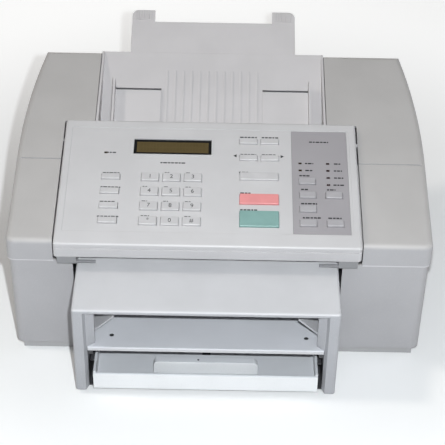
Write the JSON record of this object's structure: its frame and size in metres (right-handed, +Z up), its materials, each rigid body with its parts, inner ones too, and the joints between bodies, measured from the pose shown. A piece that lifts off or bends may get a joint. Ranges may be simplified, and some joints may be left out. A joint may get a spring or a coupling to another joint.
{
  "type": "fax machine",
  "caption": "Desktop plain-paper fax machine with a hinged control panel, a sheet feeder on top and a paper tray in front.",
  "frame": {"origin": "centre of the bounding box at the bottom of the feet, with the tray extension pulled out", "axes": "+X to the right as seen from the front, +Y to the rear, +Z up"},
  "size_m": [0.445, 0.386, 0.2561],
  "materials": {
    "case_plastic": "fine moulded texture",
    "panel_plastic": "fine moulded texture",
    "key_plastic": "smooth moulded",
    "red_plastic": "smooth moulded",
    "green_plastic": "smooth moulded",
    "settings_grey": "printed film",
    "settings_key_plastic": "smooth moulded",
    "latch_grey": "smooth moulded",
    "display_glass": "clear window over a dark display",
    "light_plastic": "clear moulded",
    "board": "coated board",
    "base_plastic": "moulded",
    "foot_rubber": "moulded",
    "screw_steel": "plated",
    "sheet_steel": "zinc plated",
    "rod_steel": "ground and polished",
    "black_plastic": "moulded",
    "cartridge_plastic": "moulded",
    "white_plastic": "moulded",
    "roller_rubber": "ground"
  },
  "bodies": {
    "case": {"base_pan": "base_plastic", "case_screws": "screw_steel", "rubber_feet": "foot_rubber", "lower_case": "case_plastic", "top_cover": "case_plastic", "document_tray": "case_plastic", "tray_hood": "case_plastic", "output_tray": "case_plastic", "engine_frame": "sheet_steel", "carriage_rod": "rod_steel", "scan_bar": "black_plastic", "main_board": "board"},
    "control_panel": {"panel_frame": "panel_plastic", "settings_plate": "settings_grey", "lcd_display": "display_glass", "indicator_lights": "light_plastic", "panel_board": "board", "panel_back_cover": "panel_plastic"},
    "carriage": {"carriage": "black_plastic", "ink_cartridges": "cartridge_plastic"},
    "panel_latch": {"panel_latch": "latch_grey"},
    "left_document_guide": {"left_document_guide": "case_plastic"},
    "right_document_guide": {"right_document_guide": "case_plastic"},
    "guide_pinion": {"guide_pinion": "white_plastic"},
    "tray_extension": {"tray_extension": "case_plastic"},
    "left_wing": {"left_wing": "case_plastic"},
    "right_wing": {"right_wing": "case_plastic"},
    "input_tray": {"input_tray": "case_plastic"},
    "length_adjuster": {"length_adjuster": "case_plastic"},
    "document_feed_roller": {"document_feed_roller": "roller_rubber"},
    "paper_feed_roller": {"paper_feed_roller": "roller_rubber"},
    "number_key_1": {"number_key_1": "key_plastic"},
    "number_key_2": {"number_key_2": "key_plastic"},
    "number_key_3": {"number_key_3": "key_plastic"},
    "number_key_4": {"number_key_4": "key_plastic"},
    "number_key_5": {"number_key_5": "key_plastic"},
    "number_key_6": {"number_key_6": "key_plastic"},
    "number_key_7": {"number_key_7": "key_plastic"},
    "number_key_8": {"number_key_8": "key_plastic"},
    "number_key_9": {"number_key_9": "key_plastic"},
    "number_key_10": {"number_key_10": "key_plastic"},
    "number_key_11": {"number_key_11": "key_plastic"},
    "number_key_12": {"number_key_12": "key_plastic"},
    "function_key_1": {"function_key_1": "key_plastic"},
    "function_key_2": {"function_key_2": "key_plastic"},
    "function_key_3": {"function_key_3": "key_plastic"},
    "function_key_4": {"function_key_4": "key_plastic"},
    "left_upper_key": {"left_upper_key": "key_plastic"},
    "right_upper_key": {"right_upper_key": "key_plastic"},
    "left_arrow_key": {"left_arrow_key": "key_plastic"},
    "right_arrow_key": {"right_arrow_key": "key_plastic"},
    "wide_key": {"wide_key": "key_plastic"},
    "stop_key": {"stop_key": "red_plastic"},
    "start_key": {"start_key": "green_plastic"},
    "settings_key_left_1": {"settings_key_left_1": "settings_key_plastic"},
    "settings_key_left_2": {"settings_key_left_2": "settings_key_plastic"},
    "settings_key_left_3": {"settings_key_left_3": "settings_key_plastic"},
    "settings_key_left_4": {"settings_key_left_4": "settings_key_plastic"},
    "settings_key_right_2": {"settings_key_right_2": "settings_key_plastic"},
    "settings_key_right_4": {"settings_key_right_4": "settings_key_plastic"}
  },
  "joints": [
    {"name": "panel_hinge", "type": "hinge", "parent": "case", "child": "control_panel", "pos_m": [-0.012, 0.00854, 0.18721], "axis": [-1, 0, 0], "range_deg": [0, 55]},
    {"name": "number_key_1_press", "type": "slide", "parent": "control_panel", "child": "number_key_1", "axis": [0, 0.2924, -0.9563], "range_m": [0, 0.0012], "stiffness_N_per_m": 300, "springref_m": -0.001},
    {"name": "number_key_2_press", "type": "slide", "parent": "control_panel", "child": "number_key_2", "axis": [0, 0.2924, -0.9563], "range_m": [0, 0.0012], "stiffness_N_per_m": 300, "springref_m": -0.001},
    {"name": "number_key_3_press", "type": "slide", "parent": "control_panel", "child": "number_key_3", "axis": [0, 0.2924, -0.9563], "range_m": [0, 0.0012], "stiffness_N_per_m": 300, "springref_m": -0.001},
    {"name": "number_key_4_press", "type": "slide", "parent": "control_panel", "child": "number_key_4", "axis": [0, 0.2924, -0.9563], "range_m": [0, 0.0012], "stiffness_N_per_m": 300, "springref_m": -0.001},
    {"name": "number_key_5_press", "type": "slide", "parent": "control_panel", "child": "number_key_5", "axis": [0, 0.2924, -0.9563], "range_m": [0, 0.0012], "stiffness_N_per_m": 300, "springref_m": -0.001},
    {"name": "number_key_6_press", "type": "slide", "parent": "control_panel", "child": "number_key_6", "axis": [0, 0.2924, -0.9563], "range_m": [0, 0.0012], "stiffness_N_per_m": 300, "springref_m": -0.001},
    {"name": "number_key_7_press", "type": "slide", "parent": "control_panel", "child": "number_key_7", "axis": [0, 0.2924, -0.9563], "range_m": [0, 0.0012], "stiffness_N_per_m": 300, "springref_m": -0.001},
    {"name": "number_key_8_press", "type": "slide", "parent": "control_panel", "child": "number_key_8", "axis": [0, 0.2924, -0.9563], "range_m": [0, 0.0012], "stiffness_N_per_m": 300, "springref_m": -0.001},
    {"name": "number_key_9_press", "type": "slide", "parent": "control_panel", "child": "number_key_9", "axis": [0, 0.2924, -0.9563], "range_m": [0, 0.0012], "stiffness_N_per_m": 300, "springref_m": -0.001},
    {"name": "number_key_10_press", "type": "slide", "parent": "control_panel", "child": "number_key_10", "axis": [0, 0.2924, -0.9563], "range_m": [0, 0.0012], "stiffness_N_per_m": 300, "springref_m": -0.001},
    {"name": "number_key_11_press", "type": "slide", "parent": "control_panel", "child": "number_key_11", "axis": [0, 0.2924, -0.9563], "range_m": [0, 0.0012], "stiffness_N_per_m": 300, "springref_m": -0.001},
    {"name": "number_key_12_press", "type": "slide", "parent": "control_panel", "child": "number_key_12", "axis": [0, 0.2924, -0.9563], "range_m": [0, 0.0012], "stiffness_N_per_m": 300, "springref_m": -0.001},
    {"name": "function_key_1_press", "type": "slide", "parent": "control_panel", "child": "function_key_1", "axis": [0, 0.2924, -0.9563], "range_m": [0, 0.0012], "stiffness_N_per_m": 300, "springref_m": -0.001},
    {"name": "function_key_2_press", "type": "slide", "parent": "control_panel", "child": "function_key_2", "axis": [0, 0.2924, -0.9563], "range_m": [0, 0.0012], "stiffness_N_per_m": 300, "springref_m": -0.001},
    {"name": "function_key_3_press", "type": "slide", "parent": "control_panel", "child": "function_key_3", "axis": [0, 0.2924, -0.9563], "range_m": [0, 0.0012], "stiffness_N_per_m": 300, "springref_m": -0.001},
    {"name": "function_key_4_press", "type": "slide", "parent": "control_panel", "child": "function_key_4", "axis": [0, 0.2924, -0.9563], "range_m": [0, 0.0012], "stiffness_N_per_m": 300, "springref_m": -0.001},
    {"name": "left_upper_key_press", "type": "slide", "parent": "control_panel", "child": "left_upper_key", "axis": [0, 0.2924, -0.9563], "range_m": [0, 0.0012], "stiffness_N_per_m": 300, "springref_m": -0.001},
    {"name": "right_upper_key_press", "type": "slide", "parent": "control_panel", "child": "right_upper_key", "axis": [0, 0.2924, -0.9563], "range_m": [0, 0.0012], "stiffness_N_per_m": 300, "springref_m": -0.001},
    {"name": "left_arrow_key_press", "type": "slide", "parent": "control_panel", "child": "left_arrow_key", "axis": [0, 0.2924, -0.9563], "range_m": [0, 0.0012], "stiffness_N_per_m": 300, "springref_m": -0.001},
    {"name": "right_arrow_key_press", "type": "slide", "parent": "control_panel", "child": "right_arrow_key", "axis": [0, 0.2924, -0.9563], "range_m": [0, 0.0012], "stiffness_N_per_m": 300, "springref_m": -0.001},
    {"name": "wide_key_press", "type": "slide", "parent": "control_panel", "child": "wide_key", "axis": [0, 0.2924, -0.9563], "range_m": [0, 0.0012], "stiffness_N_per_m": 300, "springref_m": -0.001},
    {"name": "stop_key_press", "type": "slide", "parent": "control_panel", "child": "stop_key", "axis": [0, 0.2924, -0.9563], "range_m": [0, 0.0012], "stiffness_N_per_m": 300, "springref_m": -0.001},
    {"name": "start_key_press", "type": "slide", "parent": "control_panel", "child": "start_key", "axis": [0, 0.2924, -0.9563], "range_m": [0, 0.0012], "stiffness_N_per_m": 300, "springref_m": -0.001},
    {"name": "settings_key_left_1_press", "type": "slide", "parent": "control_panel", "child": "settings_key_left_1", "axis": [0, 0.2924, -0.9563], "range_m": [0, 0.0012], "stiffness_N_per_m": 300, "springref_m": -0.001},
    {"name": "settings_key_left_2_press", "type": "slide", "parent": "control_panel", "child": "settings_key_left_2", "axis": [0, 0.2924, -0.9563], "range_m": [0, 0.0012], "stiffness_N_per_m": 300, "springref_m": -0.001},
    {"name": "settings_key_left_3_press", "type": "slide", "parent": "control_panel", "child": "settings_key_left_3", "axis": [0, 0.2924, -0.9563], "range_m": [0, 0.0012], "stiffness_N_per_m": 300, "springref_m": -0.001},
    {"name": "settings_key_left_4_press", "type": "slide", "parent": "control_panel", "child": "settings_key_left_4", "axis": [0, 0.2924, -0.9563], "range_m": [0, 0.0012], "stiffness_N_per_m": 300, "springref_m": -0.001},
    {"name": "settings_key_right_2_press", "type": "slide", "parent": "control_panel", "child": "settings_key_right_2", "axis": [0, 0.2924, -0.9563], "range_m": [0, 0.0012], "stiffness_N_per_m": 300, "springref_m": -0.001},
    {"name": "settings_key_right_4_press", "type": "slide", "parent": "control_panel", "child": "settings_key_right_4", "axis": [0, 0.2924, -0.9563], "range_m": [0, 0.0012], "stiffness_N_per_m": 300, "springref_m": -0.001},
    {"name": "latch_slide", "type": "slide", "parent": "control_panel", "child": "panel_latch", "axis": [0, -0.9563, -0.2924], "range_m": [0, 0.003], "stiffness_N_per_m": 300, "springref_m": -0.002},
    {"name": "left_guide_slide", "type": "slide", "parent": "case", "child": "left_document_guide", "axis": [1, 0, 0], "range_m": [0, 0.034]},
    {"name": "right_guide_slide", "type": "slide", "parent": "case", "child": "right_document_guide", "axis": [1, 0, 0], "range_m": [-0.034, 0]},
    {"name": "pinion_spin", "type": "hinge", "parent": "case", "child": "guide_pinion", "pos_m": [-0.012, 0.04804, 0.17084], "axis": [0, -0.5, 0.866], "range_deg": [-217.5, 0]},
    {"name": "extension_slide", "type": "slide", "parent": "case", "child": "tray_extension", "axis": [0, 0.866, 0.5], "range_m": [-0.042, 0]},
    {"name": "left_wing_hinge", "type": "hinge", "parent": "case", "child": "left_wing", "pos_m": [-0.1305, -0.1567, 0.0715], "axis": [0, 1, 0], "range_deg": [-38, 45]},
    {"name": "right_wing_hinge", "type": "hinge", "parent": "case", "child": "right_wing", "pos_m": [0.1065, -0.1567, 0.0715], "axis": [0, -1, 0], "range_deg": [-38, 45]},
    {"name": "input_tray_slide", "type": "slide", "parent": "case", "child": "input_tray", "axis": [0, -1, 0], "range_m": [0, 0.06]},
    {"name": "length_adjuster_slide", "type": "slide", "parent": "input_tray", "child": "length_adjuster", "axis": [0, 1, 0], "range_m": [0, 0.06]},
    {"name": "carriage_slide", "type": "slide", "parent": "case", "child": "carriage", "axis": [-1, 0, 0], "range_m": [0, 0.19]},
    {"name": "document_feed_roller_spin", "type": "hinge", "parent": "case", "child": "document_feed_roller", "pos_m": [-0.012, -0.009, 0.147], "axis": [1, 0, 0], "continuous": true},
    {"name": "paper_feed_roller_spin", "type": "hinge", "parent": "case", "child": "paper_feed_roller", "pos_m": [-0.012, 0.058, 0.08], "axis": [1, 0, 0], "continuous": true}
  ],
  "couplings": [
    {"joint": "right_guide_slide", "follows": "left_guide_slide", "ratio": -1},
    {"joint": "pinion_spin", "follows": "left_guide_slide", "rad_per_m": -111.11},
    {"joint": "right_wing_hinge", "follows": "left_wing_hinge", "ratio": 1}
  ]
}
